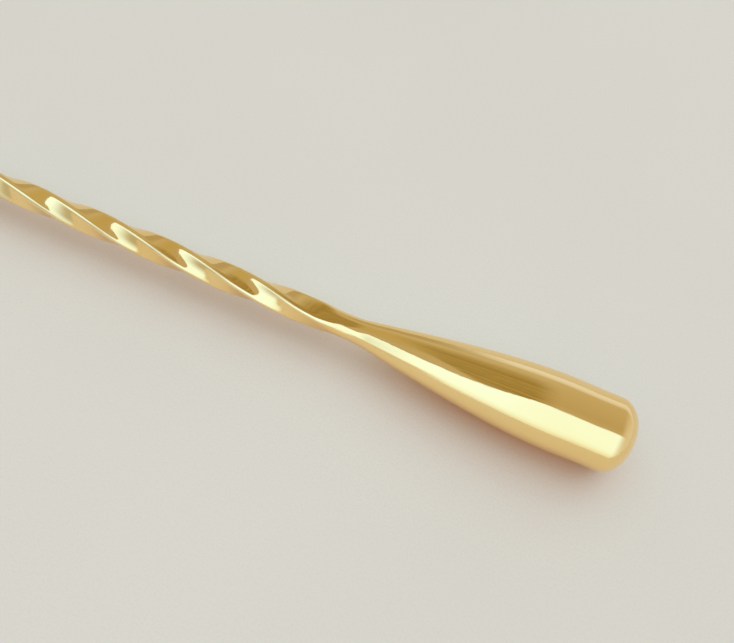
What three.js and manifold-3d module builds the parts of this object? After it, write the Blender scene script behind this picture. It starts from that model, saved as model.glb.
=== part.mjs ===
// A weighted bar spoon: an oval bowl with a round neck, a square bar twisted right-handed,
// and a solid teardrop weight. The three pieces plug into each other with brazed spigots.
// Millimetres, +Z up. The spoon lies on z = 0 with its axis along X and the teardrop at +X.
import * as THREE from "three";
import { mergeVertices } from "three/addons/utils/BufferGeometryUtils.js";
import Module from "manifold-3d";

// Overall
const LENGTH = 300;
const TIP_X = LENGTH / 2;

// Teardrop weight
const DROP_LENGTH = 48.2;
const DROP_RADIUS = 6.28;
const DROP_DOME_LENGTH = 3.6;
const DROP_DOME_RADIUS = 6.12;
const DROP_DOME_STEPS = 9;
const DROP_END_LAND_RADIUS = 1.5;
const DROP_SIDES = 36;
const AXIS_Z = DROP_RADIUS;

// Neck radius where bar, bowl and drop meet
const NECK_RADIUS = 2.12;

// Outline of the teardrop as curves, each of four (distance from its neck, radius) points:
// a short flare, a long swell like a cone with a soft knee, and a slight taper to the dome
const DROP_FLARE = [[0, NECK_RADIUS], [1.6, NECK_RADIUS], [2.9, 2.23], [4.5, 2.5]];
const DROP_FLARE_STEPS = 5;
const DROP_SWELL = [[4.5, 2.5], [16.5, 4.54], [27.7, DROP_RADIUS], [36.7, DROP_RADIUS]];
const DROP_SWELL_STEPS = 11;
const DROP_DOME_START = DROP_LENGTH - DROP_DOME_LENGTH;
const DROP_TAPER = [
  [36.7, DROP_RADIUS], [39, DROP_RADIUS], [41, DROP_DOME_RADIUS], [DROP_DOME_START, DROP_DOME_RADIUS],
];
const DROP_TAPER_STEPS = 4;

// Twisted bar
const BAR_FLAT = 4.0;
const BAR_CORNER = 0.8;
const BAR_CORNER_STEPS = 2;
const QUARTER_TURNS = 12;
const QUARTER_TURN_LENGTH = 14.0;
const TWIST_EASE = 8;
const TWIST_END_GAP = 1.8;
const SQUARE_TO_ROUND = 5;
const TWIST_STATIONS = 100;

// Spigots and their braze
const SPIGOT_RADIUS = 1.3;
const SPIGOT_LENGTH = 7;
const SOCKET_RADIUS = 1.5;
const SOCKET_LENGTH = 7.6;
const SOCKET_SIDES = 24;
const BRAZE_CLEARANCE = 0.02;
const BRAZE_FACE_GAP = 0.24;

// Bowl
const BOWL_LENGTH = 37;
const BOWL_HALF_WIDTH = 12.3;
const BOWL_WIDEST_FROM_TIP = 19.5;
const BOWL_RIM_LIFT = 0.75;
const BOWL_WALL = 1.2;
const BOWL_REST_FLAT = 0.2;
const BOWL_FLATNESS = 3;
const NECK_ROOT_HALF_THICKNESS = 1.45;
const BOWL_REAR_STATIONS = 28;
const BOWL_FRONT_STATIONS = 14;
const BOWL_ACROSS = 20;
// Where the neck turns into the bowl, as distances before or past the bowl's root
const SHOULDER_START_BEFORE = 10;
const SHOULDER_NECK_PULL = 4.5;
const SHOULDER_WIDE_PULL = 3.5;
const RIM_RISE_BEFORE = 4;
const RIM_RISE_LENGTH = 12;
const SHEET_START_BEFORE = 12;
const SHEET_BLEND_LENGTH = 20;

const DROP_START_X = TIP_X - DROP_LENGTH;
const TWIST_SPAN = QUARTER_TURNS * QUARTER_TURN_LENGTH + TWIST_EASE;
const BAR_END_X = DROP_START_X - BRAZE_FACE_GAP;
const TWIST_END_X = BAR_END_X - TWIST_END_GAP;
const TWIST_START_X = TWIST_END_X - TWIST_SPAN;
const BAR_START_X = TWIST_START_X - TWIST_END_GAP;
const BOWL_PIECE_END_X = BAR_START_X - BRAZE_FACE_GAP;

const wasm = await Module();
wasm.setup();

const smooth = (t) => {
  const c = THREE.MathUtils.clamp(t, 0, 1);
  return c * c * (3 - 2 * c);
};

function positionsOnly(geometry) {
  const bare = new THREE.BufferGeometry().setAttribute("position", geometry.getAttribute("position"));
  if (geometry.index) bare.setIndex(geometry.index);
  return mergeVertices(bare, 1e-4);
}

function toSolid(geometry) {
  const merged = positionsOnly(geometry);
  return new wasm.Manifold(
    new wasm.Mesh({
      numProp: 3,
      vertProperties: merged.getAttribute("position").array,
      triVerts: new Uint32Array(merged.index.array),
    }),
  );
}

function fromSolid(solid) {
  const mesh = solid.getMesh();
  const geometry = new THREE.BufferGeometry()
    .setAttribute("position", new THREE.BufferAttribute(mesh.vertProperties, 3))
    .setIndex(new THREE.BufferAttribute(mesh.triVerts, 1));
  geometry.computeVertexNormals();
  return geometry;
}

// Turns a lathe profile of (radius, distance along X) pairs about the spoon's axis.
function latheAlongX(profile, sides) {
  const points = profile.map(([r, x]) => new THREE.Vector2(r, x));
  const geometry = new THREE.LatheGeometry(points, sides);
  geometry.rotateZ(-Math.PI / 2);
  geometry.translate(0, 0, AXIS_Z);
  return geometry;
}

const curve = (points) => new THREE.CubicBezierCurve(...points.map((p) => new THREE.Vector2(...p)));

// Teardrop's (radius, x) pairs from its neck to the flat land at its end.
function dropProfile() {
  const outline = [
    ...curve(DROP_FLARE).getPoints(DROP_FLARE_STEPS),
    ...curve(DROP_SWELL).getPoints(DROP_SWELL_STEPS).slice(1),
    ...curve(DROP_TAPER).getPoints(DROP_TAPER_STEPS).slice(1),
  ];
  const profile = outline.map((p) => [p.y, DROP_START_X + p.x]);
  for (let i = 1; i <= DROP_DOME_STEPS; i++) {
    const angle = (Math.PI / 2) * (i / DROP_DOME_STEPS);
    const radius = THREE.MathUtils.lerp(DROP_END_LAND_RADIUS, DROP_DOME_RADIUS, Math.cos(angle));
    profile.push([radius, TIP_X - DROP_DOME_LENGTH * (1 - Math.sin(angle))]);
  }
  return profile;
}

function teardropWeight() {
  const socketEnd = DROP_START_X + SOCKET_LENGTH;
  const profile = [
    [0, socketEnd],
    [SOCKET_RADIUS, socketEnd],
    [SOCKET_RADIUS, DROP_START_X],
    ...dropProfile(),
    [0, TIP_X],
  ];
  return latheAlongX(profile, DROP_SIDES);
}

// The twist's rate rises from zero over the first easing length and falls back over the last.
function twistAngle(x) {
  const fullRate = Math.PI / 2 / QUARTER_TURN_LENGTH;
  const along = THREE.MathUtils.clamp(x - TWIST_START_X, 0, TWIST_SPAN);
  const easeIn = Math.min(along, TWIST_EASE);
  const easeOut = Math.max(along - (TWIST_SPAN - TWIST_EASE), 0);
  const steady = Math.max(along - TWIST_EASE, 0);
  const gained = easeIn ** 2 / (2 * TWIST_EASE) + steady - easeOut ** 2 / (2 * TWIST_EASE);
  return fullRate * gained;
}

function roundedSquare() {
  const half = BAR_FLAT / 2;
  const centre = half - BAR_CORNER;
  const shape = new THREE.Shape();
  shape.absarc(centre, centre, BAR_CORNER, 0, Math.PI / 2, false);
  shape.absarc(-centre, centre, BAR_CORNER, Math.PI / 2, Math.PI, false);
  shape.absarc(-centre, -centre, BAR_CORNER, Math.PI, 1.5 * Math.PI, false);
  shape.absarc(centre, -centre, BAR_CORNER, 1.5 * Math.PI, 2 * Math.PI, false);
  return shape;
}

// Stations along the bar: its place, how round the section is, and how much it is turned down.
function barStations() {
  const turned = SPIGOT_RADIUS / NECK_RADIUS;
  const stations = [
    { x: BAR_START_X - SPIGOT_LENGTH, roundness: 1, scale: turned },
    { x: BAR_START_X, roundness: 1, scale: turned },
  ];
  const span = BAR_END_X - BAR_START_X;
  for (let i = 0; i <= TWIST_STATIONS; i++) {
    const x = BAR_START_X + (span * i) / TWIST_STATIONS;
    const fromEnd = Math.min(x - BAR_START_X, BAR_END_X - x);
    stations.push({ x, roundness: 1 - smooth(fromEnd / SQUARE_TO_ROUND), scale: 1 });
  }
  stations.push({ x: BAR_END_X, roundness: 1, scale: turned });
  stations.push({ x: BAR_END_X + SPIGOT_LENGTH, roundness: 1, scale: turned });
  return stations;
}

// A straight extrusion of the rounded square, whose rings are then placed, rounded and turned.
function twistedBar() {
  const stations = barStations();
  const geometry = new THREE.ExtrudeGeometry(roundedSquare(), {
    depth: stations.length - 1,
    steps: stations.length - 1,
    bevelEnabled: false,
    curveSegments: BAR_CORNER_STEPS,
  });
  const position = geometry.getAttribute("position");
  for (let i = 0; i < position.count; i++) {
    const station = stations[Math.round(position.getZ(i))];
    const radius = Math.hypot(position.getX(i), position.getY(i));
    const angle = Math.atan2(position.getY(i), position.getX(i)) + twistAngle(station.x);
    const r = THREE.MathUtils.lerp(radius, NECK_RADIUS, station.roundness) * station.scale;
    position.setXYZ(i, station.x, r * Math.cos(angle), AXIS_Z + r * Math.sin(angle));
  }
  return geometry;
}

// Solidified filler: a sleeve round the spigot and a thin washer between the shoulders.
// direction is +1 where the socket lies towards +X of the face, and -1 towards -X.
function brazeSleeve(faceX, direction) {
  const near = faceX + direction * BRAZE_CLEARANCE;
  const washerEnd = faceX + direction * (BRAZE_FACE_GAP - BRAZE_CLEARANCE);
  const sleeveEnd = faceX + direction * SPIGOT_LENGTH;
  const inner = SPIGOT_RADIUS + BRAZE_CLEARANCE;
  const outer = SOCKET_RADIUS - BRAZE_CLEARANCE;
  const profile = [
    [inner, near],
    [NECK_RADIUS, near],
    [NECK_RADIUS, washerEnd],
    [outer, washerEnd],
    [outer, sleeveEnd],
    [inner, sleeveEnd],
    [inner, near],
  ];
  return latheAlongX(direction > 0 ? profile : profile.reverse(), SOCKET_SIDES);
}

// Bowl and neck are one forging. It is described by its outline's half width, its middle
// surface and its half thickness, all as functions of the distance from the brazed face.
const BOWL_PIECE_LENGTH = BOWL_PIECE_END_X + TIP_X;
const BOWL_ROOT = BOWL_PIECE_LENGTH - BOWL_LENGTH;
const BOWL_WIDEST = BOWL_PIECE_LENGTH - BOWL_WIDEST_FROM_TIP;

const SHOULDER_START = BOWL_ROOT - SHOULDER_START_BEFORE;
const shoulder = curve([
  [SHOULDER_START, NECK_RADIUS],
  [BOWL_ROOT + SHOULDER_NECK_PULL, NECK_RADIUS],
  [BOWL_ROOT + SHOULDER_WIDE_PULL, BOWL_HALF_WIDTH],
  [BOWL_WIDEST, BOWL_HALF_WIDTH],
]);

function bowlStations() {
  const stations = [
    { along: 0, half: NECK_RADIUS },
    { along: SHOULDER_START / 2, half: NECK_RADIUS },
  ];
  for (const p of shoulder.getPoints(BOWL_REAR_STATIONS)) stations.push({ along: p.x, half: p.y });
  for (let i = 1; i <= BOWL_FRONT_STATIONS; i++) {
    const angle = (Math.PI / 2) * (i / BOWL_FRONT_STATIONS);
    stations.push({
      along: BOWL_WIDEST + BOWL_WIDEST_FROM_TIP * Math.sin(angle),
      half: BOWL_HALF_WIDTH * Math.cos(angle),
    });
  }
  return stations;
}

// How far out a point is, from 0 on the bowl's middle line to 1 on its outline.
function reach(station, y) {
  if (station.along <= BOWL_WIDEST) return Math.abs(y) / station.half;
  return Math.hypot((station.along - BOWL_WIDEST) / BOWL_WIDEST_FROM_TIP, y / BOWL_HALF_WIDTH);
}

function middleHeight(station, y) {
  const bowlDepth = AXIS_Z + BOWL_RIM_LIFT - BOWL_WALL / 2 + BOWL_REST_FLAT;
  const opened = smooth((station.along - BOWL_ROOT) / (BOWL_WIDEST - BOWL_ROOT));
  const rim = AXIS_Z + BOWL_RIM_LIFT * smooth((station.along - BOWL_ROOT + RIM_RISE_BEFORE) / RIM_RISE_LENGTH);
  return rim - bowlDepth * opened * (1 - Math.min(reach(station, y), 1) ** BOWL_FLATNESS);
}

function halfThickness(station, y) {
  const inBowl = smooth((station.along - BOWL_ROOT + SHEET_START_BEFORE) / SHEET_BLEND_LENGTH);
  const taper = smooth(station.along / BOWL_ROOT);
  const neck = THREE.MathUtils.lerp(NECK_RADIUS, NECK_ROOT_HALF_THICKNESS, taper);
  const middle = THREE.MathUtils.lerp(neck, BOWL_WALL / 2, inBowl);
  const edgeRadius = THREE.MathUtils.lerp(station.half, BOWL_WALL / 2, inBowl);
  const out = reach(station, y);
  const inward = station.along <= BOWL_WIDEST
    ? station.half - Math.abs(y)
    : (1 - out) * BOWL_HALF_WIDTH;
  const rounded = 1 - Math.min(Math.max(inward, 0) / Math.max(edgeRadius, 1e-6), 1);
  return middle * Math.sqrt(1 - rounded ** 2);
}

// Two skins that share the outline, an end disc at the brazed face, and a point at the tip.
function bowlSkins() {
  const stations = bowlStations();
  const rows = stations.slice(0, -1).map((station) => {
    const ring = [];
    for (let side = 1; side >= -1; side -= 2) {
      for (let j = 0; j < BOWL_ACROSS; j++) {
        const y = side * station.half * Math.cos((Math.PI * j) / BOWL_ACROSS);
        const z = middleHeight(station, y) + side * halfThickness(station, y);
        ring.push([BOWL_PIECE_END_X - station.along, y, Math.max(z, 0)]);
      }
    }
    return ring;
  });
  const around = rows[0].length;
  const vertices = rows.flat();
  const tip = vertices.push([-TIP_X, 0, middleHeight(stations.at(-1), 0)]) - 1;
  const centre = vertices.push([BOWL_PIECE_END_X, 0, AXIS_Z]) - 1;
  const faces = [];
  for (let j = 0; j < around; j++) {
    const next = (j + 1) % around;
    faces.push([centre, j, next]);
    for (let i = 0; i < rows.length - 1; i++) {
      const a = i * around;
      const b = a + around;
      faces.push([a + j, b + next, a + next], [a + j, b + j, b + next]);
    }
    const last = (rows.length - 1) * around;
    faces.push([last + j, tip, last + next]);
  }
  const geometry = new THREE.BufferGeometry()
    .setAttribute("position", new THREE.Float32BufferAttribute(vertices.flat(), 3));
  geometry.setIndex(faces.flat());
  return geometry;
}

function bowlForging() {
  const socketStart = BOWL_PIECE_END_X - SOCKET_LENGTH;
  const socket = latheAlongX(
    [
      [0, socketStart],
      [SOCKET_RADIUS, socketStart],
      [SOCKET_RADIUS, BOWL_PIECE_END_X + 1],
      [0, BOWL_PIECE_END_X + 1],
    ],
    SOCKET_SIDES,
  );
  return fromSolid(toSolid(bowlSkins()).subtract(toSolid(socket)));
}

const goldPlate = new THREE.MeshStandardMaterial({ color: 0xd9a84e, roughness: 0.12, metalness: 1 });
const brazeMetal = new THREE.MeshStandardMaterial({ color: 0xc9a25a, roughness: 0.3, metalness: 1 });

function piece(name, geometry, material) {
  const mesh = new THREE.Mesh(geometry, material);
  mesh.name = name;
  return mesh;
}

const spoon = new THREE.Group();
spoon.add(piece("bowl", bowlForging(), goldPlate));
spoon.add(piece("bowl_braze", brazeSleeve(BAR_START_X, -1), brazeMetal));
spoon.add(piece("twisted_shaft", twistedBar(), goldPlate));
spoon.add(piece("drop_braze", brazeSleeve(BAR_END_X, 1), brazeMetal));
spoon.add(piece("teardrop_weight", teardropWeight(), goldPlate));

export default spoon;
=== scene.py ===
"""Looks of the bar spoon: smooth polished gold pieces on a pale surface, in soft studio light.

Lengths are in millimetres until they reach Blender, and MM turns them into metres.
"""
import math

import bpy
import numpy as np
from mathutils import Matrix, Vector


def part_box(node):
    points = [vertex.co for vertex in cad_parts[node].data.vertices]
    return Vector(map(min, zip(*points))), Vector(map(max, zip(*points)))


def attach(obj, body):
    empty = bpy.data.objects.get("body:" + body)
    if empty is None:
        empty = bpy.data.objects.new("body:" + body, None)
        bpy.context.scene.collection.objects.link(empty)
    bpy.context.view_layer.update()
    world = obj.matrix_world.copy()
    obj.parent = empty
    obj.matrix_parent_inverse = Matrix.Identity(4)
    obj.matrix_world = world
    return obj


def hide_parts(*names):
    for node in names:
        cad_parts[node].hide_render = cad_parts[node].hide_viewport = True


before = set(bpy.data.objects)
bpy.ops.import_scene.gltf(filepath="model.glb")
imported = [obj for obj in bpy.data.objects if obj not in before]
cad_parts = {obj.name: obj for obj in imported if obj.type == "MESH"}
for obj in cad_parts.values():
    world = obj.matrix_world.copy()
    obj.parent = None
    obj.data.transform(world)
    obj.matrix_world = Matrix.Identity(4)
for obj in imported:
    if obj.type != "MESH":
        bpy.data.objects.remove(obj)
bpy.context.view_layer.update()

MM = 0.001

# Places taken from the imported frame
drop_low, drop_high = [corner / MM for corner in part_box("teardrop_weight")]
shaft_low, shaft_high = [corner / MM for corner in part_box("twisted_shaft")]
bowl_low, bowl_high = [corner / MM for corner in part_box("bowl")]
TIP_X = drop_high.x
DROP_START_X = drop_low.x
DROP_RADIUS = (drop_high.z - drop_low.z) / 2
AXIS_Z = (drop_high.z + drop_low.z) / 2

# Spigots, their sockets and the neck that they join
SPIGOT_RADIUS = 1.3
SPIGOT_LENGTH = 7
SOCKET_RADIUS = 1.5
SOCKET_LENGTH = 7.6
NECK_RADIUS = 2.12
BAR_START_X = shaft_low.x + SPIGOT_LENGTH
BAR_END_X = shaft_high.x - SPIGOT_LENGTH
BRAZE_CLEARANCE = 0.02
BRAZE_FACE_GAP = DROP_START_X - BAR_END_X

# Teardrop weight, its curves as (distance from its neck, radius)
DROP_DOME_LENGTH = 3.6
DROP_DOME_RADIUS = 6.12
DROP_DOME_START = TIP_X - DROP_START_X - DROP_DOME_LENGTH
DROP_END_LAND_RADIUS = 1.5
DROP_FLARE = [(0, NECK_RADIUS), (1.6, NECK_RADIUS), (2.9, 2.23), (4.5, 2.5)]
DROP_SWELL = [(4.5, 2.5), (16.5, 4.54), (27.7, DROP_RADIUS), (36.7, DROP_RADIUS)]
DROP_TAPER = [
    (36.7, DROP_RADIUS), (39, DROP_RADIUS), (41, DROP_DOME_RADIUS), (DROP_DOME_START, DROP_DOME_RADIUS),
]

# Twisted bar
BAR_FLAT = 4.0
BAR_CORNER = 0.8
QUARTER_TURN_LENGTH = 14.0
TWIST_EASE = 8
TWIST_END_GAP = 1.8
SQUARE_TO_ROUND = 5
TWIST_START_X = BAR_START_X + TWIST_END_GAP
TWIST_SPAN = BAR_END_X - TWIST_END_GAP - TWIST_START_X

# Bowl and neck, measured along the forging from its brazed face
BOWL_END_X = bowl_high.x
BOWL_PIECE_LENGTH = bowl_high.x - bowl_low.x
BOWL_HALF_WIDTH = bowl_high.y
BOWL_LENGTH = 37
BOWL_ROOT = BOWL_PIECE_LENGTH - BOWL_LENGTH
BOWL_WIDEST_FROM_TIP = 19.5
BOWL_WIDEST = BOWL_PIECE_LENGTH - BOWL_WIDEST_FROM_TIP
BOWL_RIM_LIFT = 0.75
BOWL_WALL = 1.2
BOWL_REST_FLAT = 0.2
BOWL_FLATNESS = 3
NECK_ROOT_HALF_THICKNESS = 1.45

# Where the neck turns into the bowl, as distances before or past the bowl's root
SHOULDER_START_BEFORE = 10
SHOULDER_NECK_PULL = 4.5
SHOULDER_WIDE_PULL = 3.5
RIM_RISE_BEFORE = 4
RIM_RISE_LENGTH = 12
SHEET_START_BEFORE = 12
SHEET_BLEND_LENGTH = 20

# The rim is worn from this share of the way out, and fully worn this far past the bowl's root.
RIM_WEAR_REACH = 0.86
RIM_WEAR_LENGTH = 6

# How finely the smooth surfaces are sampled, and the sharpest angle that is shaded as smooth
DROP_SIDES = 144
DROP_STEPS = 60
COLLAR_SIDES = 72
BAR_STATIONS = 640
BAR_CORNER_STEPS = 10
BAR_FLAT_STEPS = 8
BOWL_NECK_STATIONS = 40
BOWL_STATIONS = 110
BOWL_ACROSS = 72
SHARP_DEGREES = 38


def smooth(t):
    """0 below 0, 1 above 1, and a smooth step between."""
    c = np.clip(t, 0, 1)
    return c * c * (3 - 2 * c)


def bezier(points, steps):
    """Points of a cubic curve, both ends included."""
    a, b, c, d = [np.array(p, float) for p in points]
    t = np.linspace(0, 1, steps + 1)[:, None]
    return (1 - t) ** 3 * a + 3 * (1 - t) ** 2 * t * b + 3 * (1 - t) * t ** 2 * c + t ** 3 * d


# ---- Meshes: every piece is a stack of rings ----


def ring_mesh(name, rings, first=None, last=None, wear=None):
    """A closed mesh through rings of equal count. It ends in fans to the points first and last,
    and without them the last ring joins the first. wear is one number per ring vertex."""
    count = len(rings[0])
    vertices = [tuple(v) for ring in rings for v in ring]
    faces = []
    pairs = len(rings) if first is None else len(rings) - 1
    for i in range(pairs):
        a = i * count
        b = ((i + 1) % len(rings)) * count
        for j in range(count):
            k = (j + 1) % count
            faces.append((a + j, b + j, b + k, a + k))
    if first is not None:
        start = len(vertices)
        vertices += [tuple(first), tuple(last)]
        end_ring = (len(rings) - 1) * count
        for j in range(count):
            k = (j + 1) % count
            faces.append((start, j, k))
            faces.append((end_ring + j, start + 1, end_ring + k))
    mesh = bpy.data.meshes.new(name)
    mesh.from_pydata([Vector(v) * MM for v in vertices], [], faces)
    worn = np.zeros(len(vertices), np.float32)
    if wear is not None:
        worn[:wear.size] = wear.ravel()
    mesh.attributes.new("wear", "FLOAT", "POINT").data.foreach_set("value", worn)
    mesh.validate()
    mesh.shade_smooth()
    mesh.set_sharp_from_angle(angle=math.radians(SHARP_DEGREES))
    piece = bpy.data.objects.new(name, mesh)
    bpy.context.scene.collection.objects.link(piece)
    return piece


def lathe_rings(profile, sides):
    """Rings about the spoon's axis from (distance along X, radius) pairs."""
    angle = np.linspace(0, 2 * np.pi, sides, endpoint=False)
    circle = np.stack([np.zeros(sides), np.cos(angle), np.sin(angle)], axis=1)
    return [r * circle + (x, 0, AXIS_Z) for x, r in profile]


def teardrop_weight():
    """The weight with its socket, and wear on its dome."""
    outline = np.concatenate([
        bezier(DROP_FLARE, DROP_STEPS // 2),
        bezier(DROP_SWELL, DROP_STEPS)[1:],
        bezier(DROP_TAPER, DROP_STEPS // 2)[1:],
    ])
    outline[:, 0] += DROP_START_X
    angle = np.linspace(0, np.pi / 2, DROP_STEPS // 2)[1:]
    dome = np.stack([
        TIP_X - DROP_DOME_LENGTH * (1 - np.sin(angle)),
        DROP_END_LAND_RADIUS + (DROP_DOME_RADIUS - DROP_END_LAND_RADIUS) * np.cos(angle),
    ], axis=1)
    socket_end = DROP_START_X + SOCKET_LENGTH
    socket = [(socket_end, SOCKET_RADIUS), (DROP_START_X, SOCKET_RADIUS)]
    profile = np.concatenate([socket, outline, dome])
    bulge = smooth((profile[:, 0] - (TIP_X - DROP_DOME_LENGTH)) / DROP_DOME_LENGTH)
    wear = np.repeat(bulge[:, None], DROP_SIDES, axis=1)
    rings = lathe_rings(profile, DROP_SIDES)
    return ring_mesh("teardrop", rings, (socket_end, 0, AXIS_Z), (TIP_X, 0, AXIS_Z), wear)


def twist_angle(x):
    """The bar's turn at x: the rate eases in and out over TWIST_EASE at either end."""
    along = np.clip(x - TWIST_START_X, 0, TWIST_SPAN)
    ease_in = np.minimum(along, TWIST_EASE)
    ease_out = np.maximum(along - (TWIST_SPAN - TWIST_EASE), 0)
    steady = np.maximum(along - TWIST_EASE, 0)
    gained = (ease_in ** 2 - ease_out ** 2) / (2 * TWIST_EASE) + steady
    return np.pi / 2 / QUARTER_TURN_LENGTH * gained


def rounded_square():
    """The bar's section as (radius, angle, how near to a corner's middle) for each point."""
    centre = BAR_FLAT / 2 - BAR_CORNER
    points = []
    for quarter in range(4):
        turn = quarter * np.pi / 2
        for step in range(BAR_CORNER_STEPS + 1):
            part = step / BAR_CORNER_STEPS
            y = centre + BAR_CORNER * np.cos(part * np.pi / 2)
            z = centre + BAR_CORNER * np.sin(part * np.pi / 2)
            nearness = 1 - abs(2 * part - 1)
            points.append((np.hypot(y, z), np.arctan2(z, y) + turn, nearness))
        for step in range(1, BAR_FLAT_STEPS):
            y = centre - 2 * centre * step / BAR_FLAT_STEPS
            points.append((np.hypot(y, BAR_FLAT / 2), np.arctan2(BAR_FLAT / 2, y) + turn, 0))
    return np.array(points).T


def twisted_shaft():
    """The bar, round at both ends and square between, with its spigots and wear on its ridges."""
    radius, angle, corner = rounded_square()
    turned = SPIGOT_RADIUS / NECK_RADIUS
    stations = [(BAR_START_X - SPIGOT_LENGTH, turned), (BAR_START_X, turned)]
    stations += [(x, 1) for x in np.linspace(BAR_START_X, BAR_END_X, BAR_STATIONS)]
    stations += [(BAR_END_X, turned), (BAR_END_X + SPIGOT_LENGTH, turned)]
    rings = []
    wear = []
    for x, scale in stations:
        squareness = smooth(min(x - BAR_START_X, BAR_END_X - x) / SQUARE_TO_ROUND)
        r = (NECK_RADIUS + (radius - NECK_RADIUS) * squareness) * scale
        a = angle + twist_angle(x)
        rings.append(np.stack([np.full(len(r), x), r * np.cos(a), AXIS_Z + r * np.sin(a)], axis=1))
        wear.append(corner * squareness)
    first = (stations[0][0], 0, AXIS_Z)
    last = (stations[-1][0], 0, AXIS_Z)
    return ring_mesh("shaft", rings, first, last, np.array(wear))


def braze_collar(name, face_x, direction):
    """Filler that fills the gap between two shoulders, flush with them, and lines the socket.
    face_x is the bar's shoulder, and direction is 1 or -1, away from the bar."""
    inner = SPIGOT_RADIUS + BRAZE_CLEARANCE
    outer = SOCKET_RADIUS - BRAZE_CLEARANCE
    mouth_x = face_x + direction * BRAZE_FACE_GAP
    end_x = face_x + direction * SPIGOT_LENGTH
    profile = [
        (face_x, inner),
        (face_x, NECK_RADIUS),
        (mouth_x, NECK_RADIUS),
        (mouth_x, outer),
        (end_x, outer),
        (end_x, inner),
    ]
    return ring_mesh(name, lathe_rings(profile[::direction], COLLAR_SIDES))


def bowl_outline():
    """(distance from the brazed face, half width) from the neck round to the tip."""
    shoulder_start = BOWL_ROOT - SHOULDER_START_BEFORE
    neck = [(along, NECK_RADIUS) for along in np.linspace(0, shoulder_start, BOWL_NECK_STATIONS)[:-1]]
    shoulder = bezier([
        (shoulder_start, NECK_RADIUS),
        (BOWL_ROOT + SHOULDER_NECK_PULL, NECK_RADIUS),
        (BOWL_ROOT + SHOULDER_WIDE_PULL, BOWL_HALF_WIDTH),
        (BOWL_WIDEST, BOWL_HALF_WIDTH),
    ], BOWL_STATIONS)
    angle = np.linspace(0, np.pi / 2, BOWL_STATIONS // 2)[1:]
    nose = np.stack([
        BOWL_WIDEST + BOWL_WIDEST_FROM_TIP * np.sin(angle),
        BOWL_HALF_WIDTH * np.cos(angle),
    ], axis=1)
    return np.concatenate([neck, shoulder, nose])


def bowl_reach(along, half, y):
    """How far out a point is, from 0 on the bowl's middle line to 1 on its outline."""
    if along <= BOWL_WIDEST:
        return np.abs(y) / half
    return np.hypot((along - BOWL_WIDEST) / BOWL_WIDEST_FROM_TIP, y / BOWL_HALF_WIDTH)


def bowl_middle(along, reach):
    """Height of the sheet's middle surface."""
    depth = AXIS_Z + BOWL_RIM_LIFT - BOWL_WALL / 2 + BOWL_REST_FLAT
    opened = smooth((along - BOWL_ROOT) / (BOWL_WIDEST - BOWL_ROOT))
    rim = AXIS_Z + BOWL_RIM_LIFT * smooth((along - BOWL_ROOT + RIM_RISE_BEFORE) / RIM_RISE_LENGTH)
    return rim - depth * opened * (1 - np.minimum(reach, 1) ** BOWL_FLATNESS)


def bowl_half_thickness(along, half, y, reach):
    """Half the metal's thickness: a round neck that thins into a sheet with a rounded rim."""
    in_bowl = smooth((along - BOWL_ROOT + SHEET_START_BEFORE) / SHEET_BLEND_LENGTH)
    neck = NECK_RADIUS + (NECK_ROOT_HALF_THICKNESS - NECK_RADIUS) * smooth(along / BOWL_ROOT)
    middle = neck + (BOWL_WALL / 2 - neck) * in_bowl
    edge = half + (BOWL_WALL / 2 - half) * in_bowl
    inward = half - np.abs(y) if along <= BOWL_WIDEST else (1 - reach) * BOWL_HALF_WIDTH
    rounded = 1 - np.clip(inward / edge, 0, 1)
    return middle * np.sqrt(1 - rounded ** 2)


def spoon_bowl():
    """The bowl and its neck with its socket. Each ring runs over the inside and back underneath,
    and the underside is flat where it would pass below the surface."""
    count = 2 * BOWL_ACROSS
    angle = np.arange(count) * np.pi / BOWL_ACROSS
    side = np.where(np.arange(count) < BOWL_ACROSS, 1, -1)
    socket_end = BOWL_END_X - SOCKET_LENGTH
    rings = lathe_rings([(socket_end, SOCKET_RADIUS), (BOWL_END_X, SOCKET_RADIUS)], count)
    wear = [np.zeros(count)] * len(rings)
    for along, half in bowl_outline()[:-1]:
        y = half * np.cos(angle)
        reach = bowl_reach(along, half, y)
        z = bowl_middle(along, reach) + side * bowl_half_thickness(along, half, y, reach)
        rings.append(np.stack([np.full(count, BOWL_END_X - along), y, np.maximum(z, 0)], axis=1))
        rim_wear = smooth((reach - RIM_WEAR_REACH) / (1 - RIM_WEAR_REACH))
        wear.append(rim_wear * smooth((along - BOWL_ROOT) / RIM_WEAR_LENGTH))
    first = (socket_end, 0, AXIS_Z)
    last = (BOWL_END_X - BOWL_PIECE_LENGTH, 0, bowl_middle(BOWL_PIECE_LENGTH, 1))
    return ring_mesh("bowl_shell", rings, first, last, np.array(wear))


# ---- Shader nodes ----


def feed(tree, socket, value):
    """Give an input socket another node's output, or a value of its own."""
    if isinstance(value, bpy.types.NodeSocket):
        tree.links.new(value, socket)
    else:
        socket.default_value = value


def node(tree, kind, **settings):
    """A shader node with its properties, or its inputs by socket name, set."""
    made = tree.nodes.new(kind)
    for key, value in settings.items():
        if key in made.inputs:
            feed(tree, made.inputs[key], value)
        else:
            setattr(made, key, value)
    return made


def math_node(tree, operation, a, b, clamp=False):
    """A Math node's output. a and b are sockets or numbers."""
    made = node(tree, "ShaderNodeMath", operation=operation, use_clamp=clamp)
    feed(tree, made.inputs[0], a)
    feed(tree, made.inputs[1], b)
    return made.outputs[0]


def product(tree, first, *others):
    """All the sockets or numbers multiplied together."""
    result = first
    for other in others:
        result = math_node(tree, "MULTIPLY", result, other)
    return result


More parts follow.
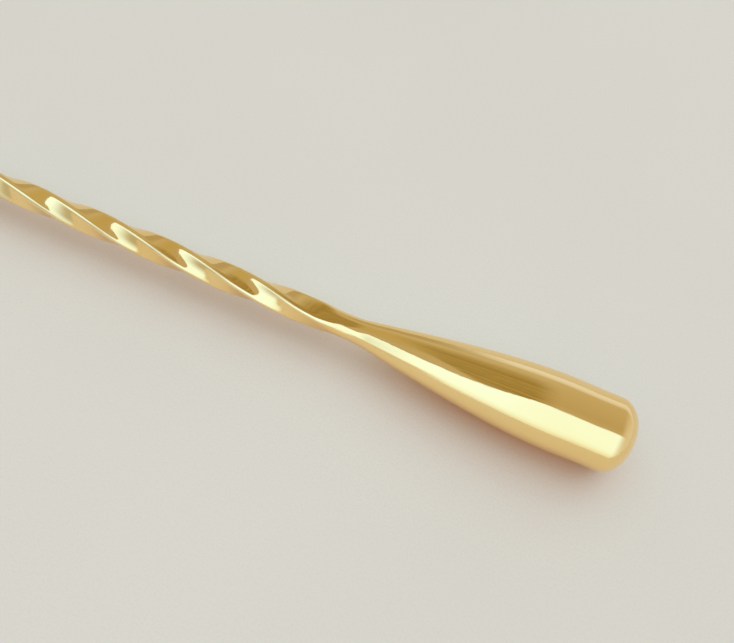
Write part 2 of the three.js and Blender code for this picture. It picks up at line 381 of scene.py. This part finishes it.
def map_range(tree, value, span, to=(0, 1)):
    """value's place between the two ends of span, smoothly mapped to between the two of to."""
    made = node(tree, "ShaderNodeMapRange", interpolation_type="SMOOTHSTEP", Value=value)
    for key, number in zip(("From Min", "From Max", "To Min", "To Max"), (*span, *to)):
        made.inputs[key].default_value = number
    return made.outputs["Result"]


def edge_at(tree, value, place, softness):
    """0 below place and 1 once value is softness past it."""
    return math_node(tree, "DIVIDE", math_node(tree, "SUBTRACT", value, place), softness, clamp=True)


def mix_colors(tree, factor, a, b):
    """A colour between a and b, each a socket or an RGBA value."""
    made = node(tree, "ShaderNodeMix", data_type="RGBA", Factor=factor)
    for name, value in (("A", a), ("B", b)):
        socket = next(s for s in made.inputs if s.name == name and s.type == "RGBA")
        feed(tree, socket, value)
    return next(s for s in made.outputs if s.type == "RGBA")


def mix_shaders(tree, factor, a, b):
    """A mix of two shaders' outputs."""
    made = tree.nodes.new("ShaderNodeMixShader")
    for socket, value in zip(made.inputs, (factor, a, b)):
        feed(tree, socket, value)
    return made.outputs["Shader"]


def color_ramp(tree, value, stops):
    """A colour for each value, from (position, RGB) stops."""
    made = node(tree, "ShaderNodeValToRGB", Fac=value)
    elements = made.color_ramp.elements
    elements.remove(elements[-1])
    elements[0].position = stops[0][0]
    elements[0].color = (*stops[0][1], 1)
    for position, color in stops[1:]:
        elements.new(position).color = (*color, 1)
    return made.outputs["Color"]


def noise(tree, coordinates, scale, detail, along=1, shift=0):
    """Noise of 0 to 1. scale counts its features in a metre, and along X their count is that
    times along. shift moves the pattern, so that no two line up."""
    place = node(tree, "ShaderNodeMapping", Vector=coordinates, Scale=(along, 1, 1),
                 Location=(shift, shift, shift))
    made = node(tree, "ShaderNodeTexNoise", Scale=scale, Detail=detail, Vector=place.outputs["Vector"])
    return made.outputs["Fac"]


def bumped_normal(tree, height, distance, strength):
    """The normal of a surface whose height varies by distance, in millimetres."""
    made = node(tree, "ShaderNodeBump", Strength=strength, Distance=distance * MM, Height=height)
    return made.outputs["Normal"]


# ---- Materials ----

GOLD = (1.0, 0.725, 0.32, 1)
GOLD_DEEP = (0.985, 0.69, 0.28, 1)
GOLD_WORN = (1.0, 0.77, 0.40, 1)

# The gold's patterns as (scale, detail, along, shift) of noise(), and the span of each that shows
CLOUDS = (90, 3, 0.5, 0)
CLOUD_SPAN = (0.35, 0.7)
RUBBED = (900, 2, 1, 3)
RUBBED_SPAN = (0.3, 0.7)
LINES = (2600, 3, 0.03, 7)
LINE_SPAN = (0.5, 0.8)
SMEARS = (160, 4, 0.6, 11)
SMEAR_SPAN = (0.5, 0.78)
RIPPLES = (140, 1, 0.7, 17)
PIECE_SHIFT = 1.7

# Least wear on a worn edge, roughness, and heights as counts of GOLD_BUMP
LEAST_WEAR = 0.35
ROUGH_CLEAN = 0.045
ROUGH_SMEARED = 0.1
ROUGH_LINE = 0.035
ROUGH_WORN = 0.05
GOLD_BUMP = 0.01
RIPPLE_HEIGHT = 6.0
LINE_HEIGHT = 0.6

# Laminate of the surface
SURFACE_PALE = (0.72, 0.715, 0.68, 1)
SURFACE_DEEP = (0.70, 0.697, 0.665, 1)
SURFACE_SPECK = (0.62, 0.618, 0.60, 1)
SURFACE_CLOUDS = (14, 3)
SURFACE_CLOUD_SPAN = (0.3, 0.7)
SURFACE_GRAIN = (2600, 2, 1, 5)
SURFACE_GRAIN_SPAN = (0.35, 0.75)
SURFACE_MOST_SPECK = 0.35
SURFACE_ROUGHNESS = 0.62
SURFACE_SPECULAR = 0.3
SURFACE_BUMP = 0.02
SURFACE_BUMP_STRENGTH = 0.25


def new_material(name):
    """A material, its node tree, its shader's inputs and the object coordinates."""
    material = bpy.data.materials.new(name)
    material.use_nodes = True
    tree = material.node_tree
    coordinates = tree.nodes.new("ShaderNodeTexCoord").outputs["Object"]
    return material, tree, tree.nodes["Principled BSDF"].inputs, coordinates


def polished_gold(name, shift):
    """Mirror-polished gold plate: lengthwise polishing lines, faint smears, and a softer, paler
    plate on the edges that get handled."""
    material, tree, inputs, coordinates = new_material(name)

    def pattern(scale, detail, along, own_shift):
        return noise(tree, coordinates, scale, detail, along, shift + own_shift)

    inputs["Metallic"].default_value = 1.0
    tone = mix_colors(tree, map_range(tree, pattern(*CLOUDS), CLOUD_SPAN), GOLD, GOLD_DEEP)
    wear = node(tree, "ShaderNodeAttribute", attribute_name="wear").outputs["Fac"]
    worn = product(tree, wear, map_range(tree, pattern(*RUBBED), RUBBED_SPAN, (LEAST_WEAR, 1)))
    feed(tree, inputs["Base Color"], mix_colors(tree, worn, tone, GOLD_WORN))

    lines = pattern(*LINES)
    smeared = map_range(tree, pattern(*SMEARS), SMEAR_SPAN, (ROUGH_CLEAN, ROUGH_SMEARED))
    lined = map_range(tree, lines, LINE_SPAN, (0, ROUGH_LINE))
    rough = math_node(tree, "ADD", smeared, lined)
    rough = math_node(tree, "ADD", rough, product(tree, worn, ROUGH_WORN))
    feed(tree, inputs["Roughness"], rough)

    rippled = product(tree, pattern(*RIPPLES), RIPPLE_HEIGHT)
    height = math_node(tree, "ADD", rippled, product(tree, lines, LINE_HEIGHT))
    feed(tree, inputs["Normal"], bumped_normal(tree, height, GOLD_BUMP, 1.0))
    return material


def pale_surface():
    """A matt laminate top: faint cloudiness and a fine grain."""
    material, tree, inputs, coordinates = new_material("pale_surface")
    clouds = map_range(tree, noise(tree, coordinates, *SURFACE_CLOUDS), SURFACE_CLOUD_SPAN)
    tone = mix_colors(tree, clouds, SURFACE_DEEP, SURFACE_PALE)
    grain = noise(tree, coordinates, *SURFACE_GRAIN)
    specks = map_range(tree, grain, SURFACE_GRAIN_SPAN, (0, SURFACE_MOST_SPECK))
    feed(tree, inputs["Base Color"], mix_colors(tree, specks, tone, SURFACE_SPECK))
    inputs["Roughness"].default_value = SURFACE_ROUGHNESS
    inputs["Specular IOR Level"].default_value = SURFACE_SPECULAR
    feed(tree, inputs["Normal"], bumped_normal(tree, grain, SURFACE_BUMP, SURFACE_BUMP_STRENGTH))
    return material


# ---- Surface, light and camera ----

FLOOR_RADIUS = 12000
FLOOR_SIDES = 96
BACKDROP = (0.66, 0.655, 0.62, 1)

# Broad light from overhead: its angular width in degrees, strength, colour and direction
KEY_WIDTH = 48
KEY_STRENGTH = 0.55
KEY_COLOR = (1.0, 0.985, 0.955)
KEY_TOWARDS = (0.22, 0.42, 0.88)

# Soft light of the room on rough surfaces: pale from above and a little to the back, and dim and
# warm from low down
HIGH_LIGHT = (0.975, 1.22, 1.25, 1)
LOW_LIGHT = (0.60, 0.23, 0.07, 1)
LEAN_BACK = 0.36
LOW_TO_HIGH = (0.35, 0.94)

# What the gold mirrors, as it sweeps about the spoon's axis from the front horizon (0), over the
# top (0.5), to the back horizon (1). A long bright panel in front, and a dim warm room behind.
SWEEP = [
    (0.0, (0.385, 0.405, 0.42)),
    (0.03, (0.45, 0.545, 0.63)),
    (0.07, (0.475, 0.64, 0.83)),
    (0.13, (0.49, 0.69, 0.97)),
    (0.25, (0.49, 0.70, 1.02)),
    (0.425, (0.49, 0.70, 1.02)),
    (0.433, (0.265, 0.240, 0.172)),
    (0.50, (0.250, 0.224, 0.150)),
    (0.87, (0.285, 0.264, 0.200)),
    (0.92, (0.385, 0.415, 0.48)),
    (1.0, (0.40, 0.44, 0.56)),
]
SWEEP_STRENGTH = 2.0
ROOM = (0.265, 0.240, 0.172, 1)
ROOM_RIGHT = (0.355, 0.365, 0.36, 1)
PANEL_LOW = (0.22, 0.20, 0.14, 1)
SURFACE_SEEN = (0.34, 0.33, 0.30, 1)
FIGURE = (0.205, 0.170, 0.078, 1)
FIGURE_DARK = (0.165, 0.128, 0.046, 1)
FIGURE_FAR = (0.27, 0.235, 0.125, 1)

# What the gold throws down on the surface beside itself
THROWN = (0.44, 0.16, 0.01, 1)

# Where each part of the room lies. A direction has an x, from -1 along the shaft to 1 past the
# weight's end, and a share of the sweep. A pair is where a change starts and where it is complete.
FAR_X = (-0.33, -0.66)
FAR_RISE_FRONT = (0.05, 0.45)
FAR_RISE_BACK = (0.95, 0.60)
FAR_RISE = 0.10
FAR_EDGE_RISE = 0.22
FADE_X = (-0.36, -0.60)
FADE_SHARE = (0.46, 0.14)
MOST_FADE = 0.85
FOOT_X = (-0.22, -0.34)
FOOT_SHARE = (0.10, 0.035)
EDGE_X = (-0.30, 0.14)
EDGE_SHARE = (0.318, 0.43)
EDGE_SOFTNESS = 0.01
EDGE_END = (0.52, 0.46)
FIGURE_X = (0.16, 0.0)
FIGURE_START_X = (-0.44, -0.16)
FIGURE_START_SHARE = (0.56, 0.345)
FIGURE_SOFTNESS = 0.03
FIGURE_END = (0.84, 0.68)
FIGURE_FAR_X = (-0.27, -0.43)
MOST_FIGURE_FAR = 0.9
BACK_X = (0.0, -0.26)
BACK_SHARE = (0.83, 0.92)
MOST_BACK = 0.85
RIGHT_X = (0.34, 1.0)

# Folds in the figure's clothes: how many in the sweep, how rough, and the span that shows
FOLDS = 34
FOLD_DETAIL = 1.5
FOLD_SPAN = (0.36, 0.66)

# Camera, in degrees and millimetres
CAMERA_AZIMUTH = 24.1
CAMERA_ELEVATION = 65.1
CAMERA_DISTANCE = 96
CAMERA_LENS = 28
CAMERA_SENSOR = 36
CAMERA_CLIP_START = 5
AIM_BEFORE_TIP = 45.3
AIM_TO_BACK = 1.93
AIM_ABOVE_AXIS = 0.69


def panel_and_room(tree, x, share):
    """The sweep's colours, with a panel whose edges change along x. Also how surely a direction
    is above the panel."""
    # Far along the shaft the panel reaches higher, and its brightness fades towards the surface.
    far = map_range(tree, x, FAR_X)
    rise = product(tree, map_range(tree, share, FAR_RISE_FRONT),
                   map_range(tree, share, FAR_RISE_BACK, (0, FAR_RISE)), far)
    seen = color_ramp(tree, math_node(tree, "SUBTRACT", share, rise), SWEEP)
    faded = product(tree, map_range(tree, x, FADE_X), map_range(tree, share, FADE_SHARE, (0, MOST_FADE)))
    seen = mix_colors(tree, faded, seen, PANEL_LOW)

    # Along the shaft the surface hides the foot of the panel.
    foot = product(tree, map_range(tree, x, FOOT_X), map_range(tree, share, FOOT_SHARE))
    seen = mix_colors(tree, foot, seen, SURFACE_SEEN)

    # The panel's upper edge is lowest where it is seen beside the weight's neck.
    lowered = map_range(tree, x, EDGE_X, EDGE_SHARE)
    edge = math_node(tree, "ADD", lowered, product(tree, far, FAR_EDGE_RISE))
    above_panel = edge_at(tree, share, edge, EDGE_SOFTNESS)
    hidden = product(tree, above_panel, map_range(tree, share, EDGE_END))
    return mix_colors(tree, hidden, seen, ROOM), above_panel


def add_figure(tree, x, share, seen, above_panel):
    """Somebody leaning over the spoon from its bowl's side: dark, above the panel."""
    start = map_range(tree, x, FIGURE_START_X, FIGURE_START_SHARE)
    above = edge_at(tree, share, start, FIGURE_SOFTNESS)
    covered = product(tree, above, map_range(tree, share, FIGURE_END), above_panel,
                      map_range(tree, x, FIGURE_X))
    folds = node(tree, "ShaderNodeTexNoise", noise_dimensions="1D", Scale=FOLDS, Detail=FOLD_DETAIL, W=share)
    fold = map_range(tree, folds.outputs["Fac"], FOLD_SPAN)
    clothes = mix_colors(tree, fold, FIGURE_DARK, FIGURE)
    far = map_range(tree, x, FIGURE_FAR_X, (0, MOST_FIGURE_FAR))
    clothes = mix_colors(tree, far, clothes, FIGURE_FAR)
    return mix_colors(tree, covered, seen, clothes)


def mirrored_room(tree, x, y, z):
    """The colour that the gold mirrors from each direction."""
    angle = math_node(tree, "ARCTAN2", z, product(tree, y, -1.0))
    share = math_node(tree, "DIVIDE", angle, math.pi)
    seen, above_panel = panel_and_room(tree, x, share)
    seen = add_figure(tree, x, share, seen, above_panel)

    # The back horizon is dark towards the shaft's side.
    back = product(tree, map_range(tree, x, BACK_X), map_range(tree, share, BACK_SHARE, (0, MOST_BACK)))
    seen = mix_colors(tree, back, seen, FIGURE)

    # Past the weight's end the room is light down to the surface.
    return mix_colors(tree, map_range(tree, x, RIGHT_X), seen, ROOM_RIGHT)


def soft_light(tree, y, z):
    """The colour of the room's light on rough surfaces."""
    raised = math_node(tree, "ADD", z, product(tree, y, LEAN_BACK))
    return mix_colors(tree, map_range(tree, raised, LOW_TO_HIGH), LOW_LIGHT, HIGH_LIGHT)


def studio_world():
    """Soft light on rough surfaces, a panel and a room for the gold to mirror, and a plain
    backdrop for the camera."""
    world = bpy.data.worlds.new("studio")
    bpy.context.scene.world = world
    world.use_nodes = True
    tree = world.node_tree
    tree.nodes.clear()
    direction = tree.nodes.new("ShaderNodeTexCoord").outputs["Generated"]
    x, y, z = node(tree, "ShaderNodeSeparateXYZ", Vector=direction).outputs
    path = tree.nodes.new("ShaderNodeLightPath").outputs

    # A ray that left the surface before it met the gold has a diffuse depth of 1 or more.
    thrown = math_node(tree, "GREATER_THAN", path["Diffuse Depth"], 0.5)
    seen = mix_colors(tree, thrown, mirrored_room(tree, x, y, z), THROWN)
    mirrored = node(tree, "ShaderNodeBackground", Color=seen, Strength=SWEEP_STRENGTH)
    soft = node(tree, "ShaderNodeBackground", Color=soft_light(tree, y, z))
    backdrop = node(tree, "ShaderNodeBackground", Color=BACKDROP)
    lit = mix_shaders(tree, path["Is Glossy Ray"], soft.outputs[0], mirrored.outputs[0])
    shown = mix_shaders(tree, path["Is Camera Ray"], lit, backdrop.outputs[0])
    node(tree, "ShaderNodeOutputWorld", Surface=shown)


def key_light():
    """Broad soft light from overhead, leaning over the back and towards the weight's end. It is
    far away, so that it lights the whole surface evenly."""
    data = bpy.data.lights.new("key", "SUN")
    data.angle = math.radians(KEY_WIDTH)
    data.energy = KEY_STRENGTH
    data.color = KEY_COLOR
    light = bpy.data.objects.new("key", data)
    bpy.context.scene.collection.objects.link(light)
    light.rotation_mode = "QUATERNION"
    light.rotation_quaternion = Vector(KEY_TOWARDS).to_track_quat("Z", "Y")
    light.visible_glossy = False
    light.visible_camera = False


def floor():
    """The surface that the spoon lies on."""
    mesh = bpy.data.meshes.new("surface")
    angles = np.linspace(0, 2 * math.pi, FLOOR_SIDES, endpoint=False)
    corners = [Vector((math.cos(a), math.sin(a), 0)) * (FLOOR_RADIUS * MM) for a in angles]
    mesh.from_pydata(corners, [], [tuple(range(FLOOR_SIDES))])
    surface = bpy.data.objects.new("surface", mesh)
    surface.location.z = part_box("teardrop_weight")[0].z
    bpy.context.scene.collection.objects.link(surface)
    mesh.materials.append(pale_surface())


def camera():
    """Close above the weight and its neck, which cross the picture from corner to corner."""
    data = bpy.data.cameras.new("camera")
    data.sensor_width = CAMERA_SENSOR
    data.lens = CAMERA_LENS
    data.clip_start = CAMERA_CLIP_START * MM
    azimuth = math.radians(CAMERA_AZIMUTH)
    elevation = math.radians(CAMERA_ELEVATION)
    back = Vector((
        math.sin(azimuth) * math.cos(elevation),
        -math.cos(azimuth) * math.cos(elevation),
        math.sin(elevation),
    ))
    aim = Vector((TIP_X - AIM_BEFORE_TIP, AIM_TO_BACK, AXIS_Z + AIM_ABOVE_AXIS)) * MM
    eye = bpy.data.objects.new("camera", data)
    bpy.context.scene.collection.objects.link(eye)
    eye.location = aim + CAMERA_DISTANCE * MM * back
    eye.rotation_mode = "QUATERNION"
    eye.rotation_quaternion = (-back).to_track_quat("-Z", "Y")
    bpy.context.scene.camera = eye


# ---- Build ----

pieces = [
    (teardrop_weight(), "teardrop_weight", "gold_plate"),
    (twisted_shaft(), "twisted_shaft", "gold_plate"),
    (spoon_bowl(), "bowl", "gold_plate"),
    (braze_collar("drop_collar", BAR_END_X, 1), "drop_braze", "braze"),
    (braze_collar("bowl_collar", BAR_START_X, -1), "bowl_braze", "braze"),
]
for number, (piece, cad_node, slot) in enumerate(pieces):
    piece.data.materials.append(polished_gold(piece.name + "_gold", PIECE_SHIFT * number))
    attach(piece, "root")
    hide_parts(cad_node)

floor()
studio_world()
key_light()
camera()
bpy.context.scene.view_settings.view_transform = "Standard"
